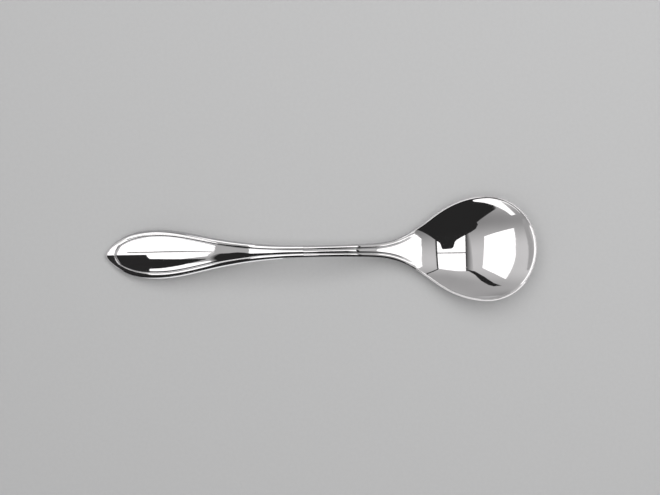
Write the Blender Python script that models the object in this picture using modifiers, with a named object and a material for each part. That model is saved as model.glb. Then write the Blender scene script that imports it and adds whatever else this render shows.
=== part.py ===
"""Sugar spoon: a dished bowl and a pointed, threaded handle that is brazed under the bowl's shoulder.

A station is a distance along the spoon, measured level from the handle's point towards the bowl's front.
The spoon lies as on a table: +X runs towards the bowl's front, +Z is up, and it is even about Y = 0.
"""

import math

import bmesh
import bpy
import numpy as np

MM = 0.001

# Runs between the stations of the outline, from the handle's point to the bowl's front
POINT_RUN = 17.5 * MM
TAPER_RUN = 17.5 * MM
STEM_RUN = 17.0 * MM
NECK_RUN = 17.5 * MM
FLARE_RUN = 15.0 * MM
THROAT_RUN = 10.5 * MM
JOINT_RUN = 6.0 * MM
CHEEK_RUN = 8.0 * MM
BELLY_RUN = 14.8 * MM
FRONT_RUN = 16.2 * MM

# Full widths at those stations
BLADE_WIDTH = 15.84 * MM
TAPER_WIDTH = 10.3 * MM
STEM_WIDTH = 5.16 * MM
NECK_WIDTH = 3.86 * MM
FLARE_WIDTH = 4.36 * MM
THROAT_WIDTH = 7.26 * MM
JOINT_WIDTH = 13.2 * MM
CHEEK_WIDTH = 24.6 * MM
BELLY_WIDTH = 34.14 * MM

# Exponents of the pointed end: how full its sides are and how sharp its point is
POINT_FULLNESS = 2.5
POINT_SHARPNESS = 0.75

# Heights of the upper face along the middle, above the table
POINT_HEIGHT = 1.3 * MM
BLADE_HEIGHT = 5.9 * MM
TAPER_HEIGHT = 9.3 * MM
STEM_HEIGHT = 11.2 * MM
NECK_HEIGHT = 11.1 * MM
FLARE_HEIGHT = 8.5 * MM
JOINT_HEIGHT = 3.3 * MM
FRONT_HEIGHT = 10.0 * MM
POINT_SLOPE = 0.25
FRONT_SLOPE = 0.58

# The bowl's deepest place, measured forward from the joint
DEEPEST_RUN = 12.5 * MM

# The keel along the handle's face: a roof at the beak, an ogee across the panel, gone at the throat
KEEL_SLOPE = 0.27
BEAK_LENGTH = 8.0 * MM
RIDGE_ROUND = 0.3 * MM
KEEL_RUNOUT = 25.0 * MM

# Radii across the dished face, from the throat to the bowl's front
THROAT_DISH_RADIUS = 24.0 * MM
JOINT_DISH_RADIUS = 21.0 * MM
DEEPEST_DISH_RADIUS = 20.5 * MM
BELLY_DISH_RADIUS = 21.0 * MM
FRONT_DISH_RADIUS = 22.0 * MM

# Thickness of the handle in the middle, and how far its side lies below the upper face's edge
POINT_THICKNESS = 2.0 * MM
BLADE_THICKNESS = 3.0 * MM
STEM_THICKNESS = 2.9 * MM
NECK_THICKNESS = 3.0 * MM
POINT_SIDE = 0.3 * MM
BLADE_SIDE = 1.15 * MM
NECK_SIDE = 0.65 * MM
JOINT_SIDE = 0.5 * MM

# Raised thread round the handle's edge, with a groove inside it
BLADE_THREAD = 1.95 * MM
NECK_THREAD = 1.3 * MM
JOINT_THREAD = 1.6 * MM
THREAD_RISE = 0.12 * MM
GROOVE_DEPTH = 0.12 * MM
GROOVE_FLANK = 0.5 * MM
RELIEF_RUNOUT = 7.0 * MM
PANEL_SETBACK = 3.2 * MM
PANEL_NOSE = 5.0 * MM
NOSE_ROUND = 2.0 * MM

# Where the thread's crest lies, from the side (0) to the groove (1), and where the beak turns down to its side
BEAK_CREST = 0.88
THREAD_CREST = 0.81
NECK_CREST = 0.7
BEAK_BROW = 0.12

# Bowl shell, the gap that the braze fills, and the heel under it
GAUGE = 1.0 * MM
RIM_ROUND = 0.3 * MM
BRAZE_GAP = 0.3 * MM
HEEL_LENGTH = 5.5 * MM
HEEL_ROOT_THICKNESS = 1.0 * MM
HEEL_END_THICKNESS = 0.35 * MM

# Depth of the small flats that the spoon rests on
REST_DEPTH = 0.12 * MM

# Cutters reach this far past what they cut
CUT_MARGIN = 3.0 * MM

# Fineness of the meshes
POINT_STEPS = 14
BODY_STEPS = 44
HEEL_STEPS = 8
PANEL_SHARES = (1.0, 0.86, 0.72, 0.57, 0.43, 0.29, 0.14, 0.0)
FLANK_SHARES = (0.5,)
THREAD_SHARES = (1.0, 0.94, 0.88, 0.81, 0.7, 0.52, 0.32, 0.14, 0.04, 0.0)
BACK_ANGLES = (15, 35, 55, 75, 90)
FRONT_STEPS = 18
CHEEK_STEPS = 16
SEAM_STEPS = 5
BOWL_RINGS = 12
SEAT_STEPS = 16
RIM_SEGMENTS = 2
GRADIENT_STEP = 0.01 * MM
MIRROR_MERGE = 0.01 * MM

SILVER = (0.84, 0.84, 0.85, 1.0)
POLISH = 0.06

BLADE = POINT_RUN
TAPER = BLADE + TAPER_RUN
STEM = TAPER + STEM_RUN
NECK = STEM + NECK_RUN
FLARE = NECK + FLARE_RUN
THROAT = FLARE + THROAT_RUN
JOINT = THROAT + JOINT_RUN
CHEEK = JOINT + CHEEK_RUN
BELLY = CHEEK + BELLY_RUN
FRONT = BELLY + FRONT_RUN
DEEPEST = JOINT + DEEPEST_RUN
HEEL_END = JOINT + HEEL_LENGTH


def smooth_curve(knots, start_slope=0.0, end_slope=0.0):
    """A cubic spline of even curvature through (station, value) knots, with its end slopes set."""
    stations, values = np.array(knots, float).T
    runs = np.diff(stations)
    rises = np.diff(values)
    count = len(stations)
    matrix = np.eye(count)
    slopes = np.zeros(count)
    slopes[0] = start_slope
    slopes[-1] = end_slope
    for knot in range(1, count - 1):
        before = runs[knot - 1]
        after = runs[knot]
        matrix[knot, knot - 1 : knot + 2] = (1 / before, 2 / before + 2 / after, 1 / after)
        slopes[knot] = 3 * (rises[knot - 1] / before**2 + rises[knot] / after**2)
    slopes = np.linalg.solve(matrix, slopes)

    def value_at(station):
        part = int(np.clip(np.searchsorted(stations, station) - 1, 0, count - 2))
        run = runs[part]
        share = (station - stations[part]) / run
        rest = 1 - share
        return (
            rest**2 * (1 + 2 * share) * values[part]
            + rest**2 * share * run * slopes[part]
            + share**2 * (1 + 2 * rest) * values[part + 1]
            - share**2 * rest * run * slopes[part + 1]
        )

    return value_at


side_curve = smooth_curve(
    [
        (BLADE, BLADE_WIDTH / 2),
        (TAPER, TAPER_WIDTH / 2),
        (STEM, STEM_WIDTH / 2),
        (NECK, NECK_WIDTH / 2),
        (FLARE, FLARE_WIDTH / 2),
        (THROAT, THROAT_WIDTH / 2),
        (JOINT, JOINT_WIDTH / 2),
        (CHEEK, CHEEK_WIDTH / 2),
        (BELLY, BELLY_WIDTH / 2),
    ]
)

middle_height = smooth_curve(
    [
        (0, POINT_HEIGHT),
        (BLADE, BLADE_HEIGHT),
        (TAPER, TAPER_HEIGHT),
        (STEM, STEM_HEIGHT),
        (NECK, NECK_HEIGHT),
        (FLARE, FLARE_HEIGHT),
        (JOINT, JOINT_HEIGHT),
        (DEEPEST, GAUGE - REST_DEPTH),
        (FRONT, FRONT_HEIGHT),
    ],
    POINT_SLOPE,
    FRONT_SLOPE,
)

cross_curvature = smooth_curve(
    [
        (0, 0),
        (NECK, 0),
        (FLARE, 0),
        (THROAT, 1 / THROAT_DISH_RADIUS),
        (JOINT, 1 / JOINT_DISH_RADIUS),
        (DEEPEST, 1 / DEEPEST_DISH_RADIUS),
        (BELLY, 1 / BELLY_DISH_RADIUS),
        (FRONT, 1 / FRONT_DISH_RADIUS),
    ]
)

thickness = smooth_curve(
    [
        (0, POINT_THICKNESS),
        (BLADE, BLADE_THICKNESS),
        (STEM, STEM_THICKNESS),
        (NECK, NECK_THICKNESS),
        (JOINT, GAUGE + BRAZE_GAP + HEEL_ROOT_THICKNESS),
        (HEEL_END, GAUGE + BRAZE_GAP + HEEL_END_THICKNESS),
    ]
)

side_drop = smooth_curve(
    [
        (0, POINT_SIDE),
        (BLADE, BLADE_SIDE),
        (NECK, NECK_SIDE),
        (JOINT, JOINT_SIDE),
        (HEEL_END, JOINT_SIDE),
    ]
)

thread_curve = smooth_curve(
    [
        (0, BLADE_THREAD),
        (TAPER, BLADE_THREAD),
        (NECK, NECK_THREAD),
        (JOINT, JOINT_THREAD),
    ]
)

crest_curve = smooth_curve(
    [
        (0, BEAK_CREST),
        (BLADE, THREAD_CREST),
        (TAPER, THREAD_CREST),
        (NECK, NECK_CREST),
        (JOINT, THREAD_CREST),
    ]
)


def ease(reach):
    """A smooth step from 0 to 1."""
    reach = min(max(reach, 0.0), 1.0)
    return reach**2 * (3 - 2 * reach)


def quarter_round(reach):
    """A quarter of an ellipse: 0 at reach 0, and 1, level, from reach 1 on."""
    short = 1 - min(max(reach, 0.0), 1.0)
    return math.sqrt(1 - short**2)


def half_width(station):
    """Half of the spoon's outline, from the ogive of the handle's point to the round front of the bowl."""
    if station < BLADE:
        short = 1 - station / BLADE
        return BLADE_WIDTH / 2 * (1 - short**POINT_FULLNESS) ** POINT_SHARPNESS
    if station < BELLY:
        return side_curve(station)
    past = (station - BELLY) / FRONT_RUN
    return BELLY_WIDTH / 2 * math.sqrt(max(0.0, 1 - past**2))


def heel_share(station):
    """How much of its width at the joint the heel keeps: its end is round."""
    past = max(0.0, (station - JOINT) / HEEL_LENGTH)
    return math.sqrt(max(0.0, 1 - past**2))


def handle_half_width(station):
    return half_width(min(station, JOINT)) * heel_share(station)


def thread_width(station):
    return thread_curve(min(station, JOINT))


def relief(station):
    """How much of the thread's relief is left: it runs out before the joint."""
    return ease((JOINT - station) / RELIEF_RUNOUT)


def beak(station):
    """How much of the section is the roof-like beak: all at the point, none from the panel on."""
    return 1 - ease(station / BEAK_LENGTH)


def keel_fall(station, across):
    """How far the upper face falls from the keel: a roof at the beak, then an ogee across the panel."""
    reach = max(half_width(station) - thread_curve(station), GRADIENT_STEP)
    ogee = reach / math.pi * (1 - math.cos(math.pi * min(across / reach, 1.0)))
    roof = math.hypot(across, RIDGE_ROUND) - RIDGE_ROUND
    left = ease((THROAT - station) / KEEL_RUNOUT)
    return left * KEEL_SLOPE * (ogee + (roof - ogee) * beak(station))


def upper_height(station, across):
    """The upper face without its thread: keeled on the handle, dished in the bowl."""
    dish = cross_curvature(station) * across**2 / 2
    return middle_height(station) + dish - keel_fall(station, across)


def upper_gradient(station, across):
    """Slopes of the upper face along and across the spoon."""
    ahead = upper_height(station + GRADIENT_STEP, across)
    behind = upper_height(station - GRADIENT_STEP, across)
    return (ahead - behind) / (2 * GRADIENT_STEP), cross_curvature(station) * across


def handle_columns():
    """Stations of the handle's sections, close together round the point and at the heel's end."""
    point = [POINT_RUN * (step / POINT_STEPS) ** 2 for step in range(POINT_STEPS)]
    body = [BLADE + (JOINT - BLADE) * step / BODY_STEPS for step in range(BODY_STEPS)]
    turns = [math.pi / 2 * step / HEEL_STEPS for step in range(HEEL_STEPS + 1)]
    return point + body + [JOINT + HEEL_LENGTH * math.sin(turn) for turn in turns]


def row_stations(start):
    """The columns, drawn together so that a row begins on the middle line at its own start."""
    return [start + column * (HEEL_END - start) / HEEL_END for column in handle_columns()]


def face_row(start, inset, width_share, nose, offset):
    """One line of the upper face: set in from the side, rounded off at its start, with its relief on top."""
    row = []
    for station in row_stations(start):
        edge = handle_half_width(station) - inset(station) * heel_share(station)
        across = width_share * edge
        if nose > 0:
            across *= quarter_round((station - start) / nose)
        row.append((station, across, upper_height(station, across) + offset(station)))
    return row


def panel_row(share):
    """One line of the keeled panel, from its edge (0) to the middle of the handle (1)."""
    return face_row(
        start=PANEL_SETBACK + GROOVE_FLANK + share * PANEL_NOSE,
        inset=lambda station: thread_width(station) + GROOVE_FLANK,
        width_share=1 - share,
        nose=NOSE_ROUND,
        offset=lambda station: 0.0,
    )


def flank_row(share):
    """One line of the groove's inner flank, from the bottom of the groove (0) to the panel (1)."""
    depth = GROOVE_DEPTH * (1 + math.cos(math.pi * share)) / 2
    return face_row(
        start=PANEL_SETBACK + share * GROOVE_FLANK,
        inset=lambda station: thread_width(station) + share * GROOVE_FLANK,
        width_share=1.0,
        nose=NOSE_ROUND,
        offset=lambda station: -depth * relief(station),
    )


def thread_offset(station, share):
    """Height of the thread over the upper face, from the side (0) over its crest to the groove (1)."""
    crest = crest_curve(min(station, JOINT))
    brow = crest + (BEAK_BROW - crest) * beak(station)
    inside = (1 - math.cos(math.pi * min((1 - share) / (1 - crest), 1.0))) / 2
    outside = quarter_round(share / brow)
    section = THREAD_RISE * inside * outside - GROOVE_DEPTH * (1 - inside)
    return section * relief(station) - side_drop(station) * (1 - outside)


def thread_row(share):
    """One line of the thread, from the side (0) to the bottom of the groove (1)."""
    return face_row(
        start=share * PANEL_SETBACK,
        inset=lambda station: share * thread_width(station),
        width_share=1.0,
        nose=share * NOSE_ROUND,
        offset=lambda station: thread_offset(station, share),
    )


def back_row(degrees):
    """One line of the rounded back, from near the side (0 degrees) to the middle (90 degrees)."""
    turn = math.radians(degrees)
    share = 1 - math.cos(turn)
    start = share * PANEL_SETBACK
    row = []
    for station in row_stations(start):
        edge = handle_half_width(station)
        across = (1 - share) * edge * quarter_round((station - start) / (share * NOSE_ROUND))
        side = upper_height(station, edge) - side_drop(station)
        depth = side - (middle_height(station) - thickness(station))
        row.append((station, across, side - depth * math.sin(turn)))
    return row


def grid_mesh(name, rows):
    """A mesh of quads over rows of points. Its faces look up where the rows run to +X and follow on to +Y."""
    mesh = bpy.data.meshes.new(name)
    shape = bmesh.new()
    lines = [[shape.verts.new(point) for point in row] for row in rows]
    for line, following in zip(lines, lines[1:]):
        for step in range(len(line) - 1):
            shape.faces.new((line[step], line[step + 1], following[step + 1], following[step]))
    shape.to_mesh(mesh)
    shape.free()
    mesh.shade_smooth()
    return mesh


def handle_mesh():
    """Half of the handle, lofted from the middle of its face round its side to the middle of its back."""
    rows = [panel_row(share) for share in PANEL_SHARES]
    rows += [flank_row(share) for share in FLANK_SHARES]
    rows += [thread_row(share) for share in THREAD_SHARES]
    rows += [back_row(degrees) for degrees in BACK_ANGLES]
    return grid_mesh("handle", rows)


def rim_point(station, across):
    """The inner edge of the rim, set in so that the rounded rim's outside lies on the outline."""
    along, sideways = upper_gradient(station, across)
    slope = math.hypot(along, sideways)
    lean = math.atan(slope)
    inset = GAUGE * math.sin(lean) - RIM_ROUND * (math.sin(lean) + math.cos(lean) - 1)
    return station - inset * along / slope, across - inset * sideways / slope


def bowl_edge():
    """Half of the bowl's inner edge, from its front round the cheek to the joint, and across to the middle."""
    turns = [math.pi / 2 * step / FRONT_STEPS for step in range(FRONT_STEPS)]
    front = [BELLY + FRONT_RUN * math.cos(turn) for turn in turns]
    cheek = [BELLY - (BELLY - JOINT) * step / CHEEK_STEPS for step in range(CHEEK_STEPS)]
    rim = [rim_point(station, half_width(station)) for station in front + cheek]
    corner = rim_point(JOINT, half_width(JOINT))[1]
    seam = [(JOINT, corner * (1 - step / SEAM_STEPS)) for step in range(SEAM_STEPS + 1)]
    return rim + seam


def bowl_mesh():
    """Half of the bowl's inner face, as rings drawn in from its edge to one point on the middle line."""
    mesh = bpy.data.meshes.new("bowl")
    shape = bmesh.new()
    rounded = shape.edges.layers.float.new("bevel_weight_edge")
    edge = bowl_edge()
    hub = (DEEPEST + BELLY) / 2
    rings = []
    for ring in range(BOWL_RINGS, 0, -1):
        share = ring / BOWL_RINGS
        points = [(hub + share * (station - hub), share * across) for station, across in edge]
        rings.append([shape.verts.new((s, y, upper_height(s, y))) for s, y in points])
    centre = shape.verts.new((hub, 0.0, upper_height(hub, 0.0)))
    steps = range(len(edge) - 1)
    for outer, inner in zip(rings, rings[1:]):
        for step in steps:
            shape.faces.new((outer[step], outer[step + 1], inner[step + 1], inner[step]))
    for step in steps:
        shape.faces.new((rings[-1][step], rings[-1][step + 1], centre))
    for step in range(FRONT_STEPS + CHEEK_STEPS):
        shape.edges.get((rings[0][step], rings[0][step + 1]))[rounded] = 1.0
    shape.to_mesh(mesh)
    shape.free()
    mesh.shade_smooth()
    return mesh


def seat_mesh():
    """The patch of the bowl's inner face that lies over the heel, drawn back by the braze gap."""
    reach = JOINT_WIDTH / 2 + CUT_MARGIN
    start = JOINT - BRAZE_GAP
    end = HEEL_END + CUT_MARGIN
    rows = []
    for side in range(SEAT_STEPS + 1):
        across = reach * (2 * side / SEAT_STEPS - 1)
        stations = [start + (end - start) * step / SEAT_STEPS for step in range(SEAT_STEPS + 1)]
        rows.append([(station, across, upper_height(station, across)) for station in stations])
    return grid_mesh("bowl_seat_cutter", rows)


def polished_metal(name):
    material = bpy.data.materials.new(name)
    material.use_nodes = True
    shader = material.node_tree.nodes["Principled BSDF"]
    shader.inputs["Base Color"].default_value = SILVER
    shader.inputs["Metallic"].default_value = 1.0
    shader.inputs["Roughness"].default_value = POLISH
    return material


def add_object(mesh, collection, parent):
    obj = bpy.data.objects.new(mesh.name, mesh)
    obj.parent = parent
    collection.objects.link(obj)
    return obj


def add_mirror(obj):
    mirror = obj.modifiers.new("other_half", "MIRROR")
    mirror.use_axis = (False, True, False)
    mirror.use_clip = True
    mirror.merge_threshold = MIRROR_MERGE


def add_shell(obj, below, above=0.0):
    """Thickens an open face: below it by the first amount and above it by the second."""
    shell = obj.modifiers.new("shell", "SOLIDIFY")
    shell.thickness = below + above
    shell.offset = (above - below) / (above + below)
    shell.use_even_offset = True
    shell.use_quality_normals = True


def add_cut(obj, cutter):
    cut = obj.modifiers.new("cut_by_" + cutter.name, "BOOLEAN")
    cut.operation = "DIFFERENCE"
    cut.solver = "EXACT"
    cut.object = cutter


def make_cutter(obj):
    obj.hide_render = True
    obj.display_type = "WIRE"


def make_table(collection, parent):
    """A block under the spoon, whose top is the table that the spoon's flats rest on."""
    bpy.ops.mesh.primitive_cube_add(size=1.0)
    table = bpy.context.active_object
    table.name = "table_cutter"
    table.parent = parent
    table.scale = (FRONT + 2 * CUT_MARGIN, BELLY_WIDTH + 2 * CUT_MARGIN, CUT_MARGIN)
    table.location = (FRONT / 2, 0.0, -CUT_MARGIN / 2)
    for other in table.users_collection:
        other.objects.unlink(table)
    collection.objects.link(table)
    make_cutter(table)
    return table


def new_collection(name):
    collection = bpy.data.collections.new(name)
    bpy.context.scene.collection.children.link(collection)
    return collection


def main():
    for obj in list(bpy.data.objects):
        bpy.data.objects.remove(obj)
    parts = new_collection("sugar_spoon")
    cutters = new_collection("cutters")
    middle = bpy.data.objects.new("spoon_middle", None)
    middle.location.x = -FRONT / 2
    parts.objects.link(middle)

    table = make_table(cutters, middle)
    seat = add_object(seat_mesh(), cutters, middle)
    add_shell(seat, GAUGE + BRAZE_GAP, CUT_MARGIN)
    make_cutter(seat)

    bowl = add_object(bowl_mesh(), parts, middle)
    bowl.data.materials.append(polished_metal("polished_bowl"))
    add_mirror(bowl)
    add_shell(bowl, GAUGE)
    rim = bowl.modifiers.new("rounded_rim", "BEVEL")
    rim.limit_method = "WEIGHT"
    rim.width = RIM_ROUND
    rim.segments = RIM_SEGMENTS
    add_cut(bowl, table)

    handle = add_object(handle_mesh(), parts, middle)
    handle.data.materials.append(polished_metal("polished_handle"))
    add_mirror(handle)
    add_cut(handle, seat)
    add_cut(handle, table)


if __name__ == "__main__":
    main()
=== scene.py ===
"""Sugar spoon: the looks of its polished bowl and handle, on a plain pale floor in soft studio light.

A station is a distance along the spoon, measured level from the handle's point towards the bowl's front.
The spoon lies as on a table: +X runs towards the bowl's front, +Z is up, and it is even about Y = 0.
"""

import math

import bmesh
import bpy
import numpy as np
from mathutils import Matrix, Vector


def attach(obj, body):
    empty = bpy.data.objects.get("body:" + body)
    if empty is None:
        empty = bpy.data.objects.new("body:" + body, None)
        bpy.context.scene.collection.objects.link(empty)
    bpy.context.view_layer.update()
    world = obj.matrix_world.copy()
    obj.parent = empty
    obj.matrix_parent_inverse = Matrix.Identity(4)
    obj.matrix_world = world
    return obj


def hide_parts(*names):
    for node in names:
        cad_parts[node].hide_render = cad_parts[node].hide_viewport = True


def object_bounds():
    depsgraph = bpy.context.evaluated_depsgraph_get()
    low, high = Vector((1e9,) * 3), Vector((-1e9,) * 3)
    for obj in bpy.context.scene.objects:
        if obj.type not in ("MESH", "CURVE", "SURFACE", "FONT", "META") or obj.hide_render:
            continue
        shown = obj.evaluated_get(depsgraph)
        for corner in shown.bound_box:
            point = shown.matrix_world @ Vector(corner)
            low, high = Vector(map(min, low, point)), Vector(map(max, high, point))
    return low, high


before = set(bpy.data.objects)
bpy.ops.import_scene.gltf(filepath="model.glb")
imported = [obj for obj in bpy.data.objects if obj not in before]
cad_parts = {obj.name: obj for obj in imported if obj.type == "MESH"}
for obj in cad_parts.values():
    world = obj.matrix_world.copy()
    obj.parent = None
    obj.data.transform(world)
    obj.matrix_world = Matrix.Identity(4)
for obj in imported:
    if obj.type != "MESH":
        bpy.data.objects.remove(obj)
CAD_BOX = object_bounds()

bl_info = {
    "name": "Sugar spoon",
    "version": (1, 0, 0),
    "blender": (4, 5, 0),
    "location": "View3D > Sidebar > Spoon",
    "description": "Makes a polished sugar spoon and the studio that it lies in",
    "category": "Add Mesh",
}

MM = 0.001
BODY = "root"
POINT_X = CAD_BOX[0].x

# Fineness of the meshes: rows run round the section, columns run along the spoon or round the bowl
PANEL_ROWS = 14
FLANK_ROWS = 5
GROOVE_ROWS = 8
CREST_ROWS = 8
BACK_ROWS = 14
POINT_COLUMNS = 44
BODY_COLUMNS = 240
HEEL_COLUMNS = 16
FRONT_COLUMNS = 64
CHEEK_COLUMNS = 56
SEAM_COLUMNS = 16
BOWL_RINGS = 40
ROUND_STEPS = 5
SOLVE_STEPS = 40
GRADIENT_STEP = 0.01 * MM
WELD = 0.0001 * MM
MIRROR_WELD = 0.001 * MM
SHARP_ANGLE = math.radians(40)
# How much of the heel's top the panel and the groove's flank take up, from the middle outwards
HEEL_PANEL = 0.5
HEEL_FLANK = 0.125

# Noises in the finishes: how fine they are, and the levels between which they set in
TARNISH_SCALE = 55.0
TARNISH_LEVELS = (0.4, 0.75)
PATCH_SCALE = 140.0
PATCH_LEVELS = (0.45, 0.65)
HAIRLINE_LEVELS = (0.62, 0.7)
BOWL_STROKES = (900.0, 900.0, 5000.0)
HANDLE_STROKES = (150.0, 5000.0, 5000.0)
MOTTLE_SCALE = 900.0
MOTTLE_LEVELS = (0.3, 0.7)
MOTTLE_TONE = 0.98
# Where the groove's tone sets in and how strong it is, and what is left of scratches and wear between patches
GROOVE_LEVELS = (0.35, 1.0)
GROOVE_TONE = 0.8
LEAST_SCRATCH = 0.35
LEAST_WEAR = 0.3


def length(name, millimetres, description):
    """A length that the user can change, with its default given in millimetres."""
    return bpy.props.FloatProperty(
        name=name,
        description=description,
        default=millimetres * MM,
        precision=5,
        subtype="DISTANCE",
        unit="LENGTH",
    )


def share(name, default, description):
    """A number from 0 to 1 that the user can change."""
    return bpy.props.FloatProperty(
        name=name,
        description=description,
        default=default,
        min=0.0,
        max=1.0,
        subtype="FACTOR",
    )


def colour(name, default, description):
    """A colour that the user can change."""
    return bpy.props.FloatVectorProperty(
        name=name,
        description=description,
        default=default,
        min=0.0,
        max=1.0,
        size=3,
        subtype="COLOR",
    )


class SpoonOutline(bpy.types.PropertyGroup):
    """The spoon seen from above: runs between its stations, and full widths at them"""

    point_run: length("Point run", 17.5, "From the handle's point to the widest place of the blade")
    taper_run: length("Taper run", 17.5, "From the widest place to the middle of the taper")
    stem_run: length("Stem run", 17.0, "From the taper to the stem")
    neck_run: length("Neck run", 17.5, "From the stem to the narrowest place of the neck")
    flare_run: length("Flare run", 15.0, "From the neck to where it begins to flare")
    throat_run: length("Throat run", 10.5, "From the flare to the throat")
    joint_run: length("Joint run", 6.0, "From the throat to the joint of handle and bowl")
    cheek_run: length("Cheek run", 8.0, "From the joint to the bowl's cheek")
    belly_run: length("Belly run", 14.8, "From the cheek to the widest place of the bowl")
    front_run: length("Front run", 16.2, "From the widest place to the bowl's front")
    blade_width: length("Blade width", 15.84, "Widest place of the handle's blade")
    taper_width: length("Taper width", 10.3, "Width in the middle of the taper")
    stem_width: length("Stem width", 5.16, "Width of the stem")
    neck_width: length("Neck width", 3.86, "Narrowest place of the neck")
    flare_width: length("Flare width", 4.36, "Width where the neck begins to flare")
    throat_width: length("Throat width", 7.26, "Width of the throat")
    joint_width: length("Joint width", 13.2, "Width at the joint")
    cheek_width: length("Cheek width", 24.6, "Width at the bowl's cheek")
    belly_width: length("Belly width", 34.14, "Widest place of the bowl")
    point_fullness: bpy.props.FloatProperty(
        name="Point fullness", description="How full the sides of the pointed end are", default=2.5
    )
    point_sharpness: bpy.props.FloatProperty(
        name="Point sharpness", description="How sharp the point is", default=0.75
    )


class SpoonProfile(bpy.types.PropertyGroup):
    """The spoon seen from the side and in section"""

    point_height: length("Point height", 1.3, "Height of the upper face at the handle's point")
    blade_height: length("Blade height", 5.9, "Height at the widest place of the blade")
    taper_height: length("Taper height", 9.3, "Height in the middle of the taper")
    stem_height: length("Stem height", 11.2, "Height of the stem, at the top of the arch")
    neck_height: length("Neck height", 11.1, "Height at the narrowest place of the neck")
    flare_height: length("Flare height", 8.5, "Height where the neck begins to flare")
    joint_height: length("Joint height", 3.3, "Height at the joint")
    front_height: length("Front height", 10.0, "Height of the bowl's front")
    deepest_run: length("Deepest run", 12.5, "From the joint to the bowl's deepest place")
    point_slope: bpy.props.FloatProperty(
        name="Point slope", description="Rise of the upper face at the handle's point", default=0.25
    )
    front_slope: bpy.props.FloatProperty(
        name="Front slope", description="Rise of the upper face at the bowl's front", default=0.58
    )
    keel_slope: bpy.props.FloatProperty(
        name="Keel slope", description="Steepest fall of the panel from its keel to its edge", default=0.27
    )
    beak_length: length("Beak length", 8.0, "Length over which the beak turns into the panel")
    ridge_round: length("Ridge round", 0.3, "Radius of the beak's ridge")
    keel_runout: length("Keel run-out", 25.0, "Length over which the keel runs out before the throat")
    throat_dish: length("Throat dish", 24.0, "Radius across the throat")
    joint_dish: length("Joint dish", 21.0, "Radius across the dished joint")
    deepest_dish: length("Deepest dish", 20.5, "Radius across the bowl's deepest place")
    belly_dish: length("Belly dish", 21.0, "Radius across the widest place of the bowl")
    front_dish: length("Front dish", 22.0, "Radius across the bowl's front")
    point_thickness: length("Point thickness", 2.0, "Thickness at the handle's point")
    blade_thickness: length("Blade thickness", 3.0, "Thickness of the blade")
    stem_thickness: length("Stem thickness", 2.9, "Thickness of the stem")
    neck_thickness: length("Neck thickness", 3.0, "Thickness of the neck")
    point_side: length("Point side", 0.3, "How far the side lies below the upper face at the point")
    blade_side: length("Blade side", 1.15, "How far the side lies below the upper face at the blade")
    neck_side: length("Neck side", 0.65, "How far the side lies below the upper face at the neck")
    joint_side: length("Joint side", 0.5, "How far the side lies below the upper face at the joint")


class SpoonTrim(bpy.types.PropertyGroup):
    """The raised thread round the handle's edge, and the bowl's shell, rim and heel"""

    blade_thread: length("Blade thread", 1.95, "Width of the thread round the blade")
    neck_thread: length("Neck thread", 1.3, "Width of the thread along the neck")
    joint_thread: length("Joint thread", 1.6, "Width of the thread where it runs out")
    thread_rise: length("Thread rise", 0.12, "How far the thread stands above the upper face")
    thread_crest: share("Thread crest", 0.81, "Where the crest lies, from the side (0) to the groove (1)")
    neck_crest: share("Neck crest", 0.7, "Where the crest lies along the neck")
    beak_crest: share("Beak crest", 0.88, "Where the crest lies at the beak")
    beak_brow: share("Beak brow", 0.12, "Where the beak's face turns down to its side")
    groove_depth: length("Groove depth", 0.12, "Depth of the groove inside the thread")
    groove_flank: length("Groove flank", 0.5, "Width of the groove's inner flank")
    relief_runout: length("Relief run-out", 7.0, "Length over which thread and groove run out")
    panel_setback: length("Panel setback", 3.2, "From the handle's point to the groove")
    panel_nose: length("Panel nose", 5.0, "Length of the panel's rounded nose")
    nose_round: length("Nose round", 2.0, "Length over which a line of the nose rounds off")
    gauge: length("Gauge", 1.0, "Thickness of the bowl's shell")
    rim_round: length("Rim round", 0.3, "Radius of the rim's edges")
    rim_turn: length("Rim turn", 3.0, "Length over which the rim turns into the joint")
    braze: length("Braze", 0.3, "Thickness of the braze between bowl and heel")
    heel_length: length("Heel length", 5.5, "How far the heel runs under the bowl")
    heel_root: length("Heel root", 1.0, "Thickness of the heel at the joint")
    heel_end: length("Heel end", 0.35, "Thickness of the heel at its end")
    rest_depth: length("Rest depth", 0.12, "Depth of the small flat that the bowl rests on")


class SpoonPolish(bpy.types.PropertyGroup):
    """The polished metal"""

    bright: colour("Bright", (0.925, 0.905, 0.91), "Freshly polished metal")
    dull: colour("Dull", (0.865, 0.845, 0.85), "Metal with a breath of tarnish")
    groove: colour("Groove", (0.5, 0.5, 0.51), "Metal in the groove, where the cloth doesn't reach")
    polish: share("Polish", 0.03, "Roughness of the polished face")
    hairline: share("Hairline", 0.05, "Roughness that the hairline scratches add")
    wear: share("Wear", 0.04, "Roughness that wear adds on the rim, the thread's crest and the rests")
    scratch_depth: length("Scratch depth", 0.0004, "Depth of the hairline scratches")


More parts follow.
